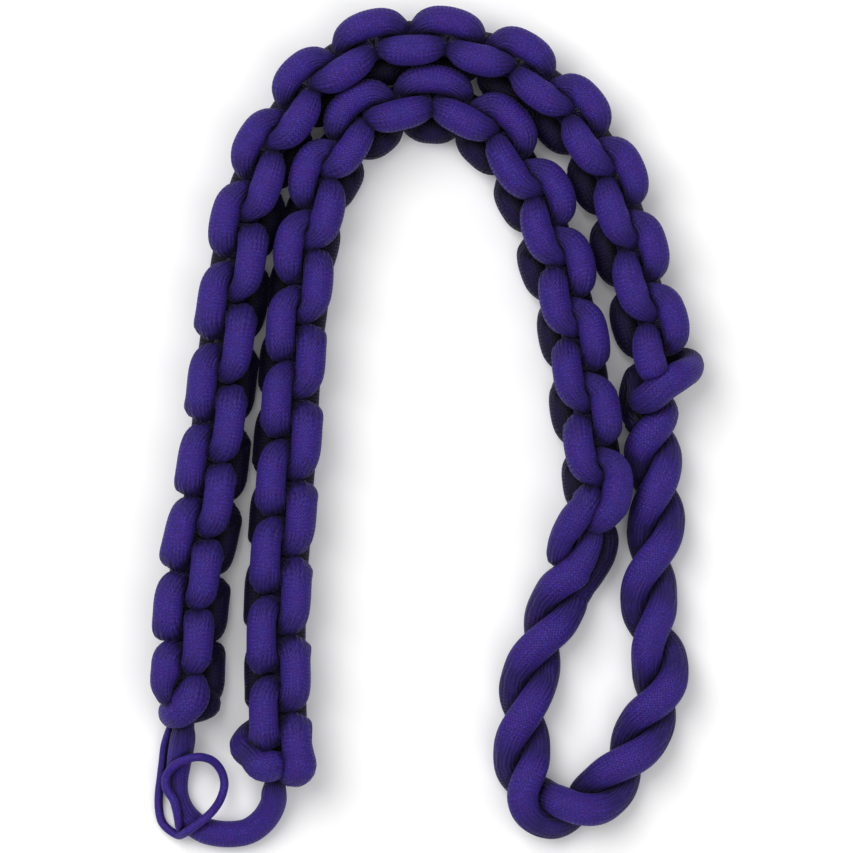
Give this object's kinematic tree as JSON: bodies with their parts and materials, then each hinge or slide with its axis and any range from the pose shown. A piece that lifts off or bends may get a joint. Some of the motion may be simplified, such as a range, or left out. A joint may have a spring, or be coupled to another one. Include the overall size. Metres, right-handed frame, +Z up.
{
  "type": "aiguillette",
  "caption": "Shoulder cord with square-knotted braids side by side in an arch, joined by a two-strand rope twist, with a plain end loop and a thin button loop.",
  "frame": {"origin": "middle of the bounding box's bottom face, on the surface that the cord lies on", "axes": "+Z up from the surface, +Y from the open ends towards the top of the arch, +X towards the twist"},
  "size_m": [0.127, 0.1944, 0.0203],
  "materials": {
    "braided_cord": "matte braided rayon sleeve, purple blue",
    "thin_cord": "matte braided rayon, purple blue"
  },
  "bodies": {
    "root": {"outer_cord_a": "braided_cord", "outer_cord_b": "braided_cord", "inner_cord_a": "braided_cord", "inner_cord_b": "braided_cord", "centre_cord": "braided_cord", "button_loop": "thin_cord"}
  },
  "joints": []
}
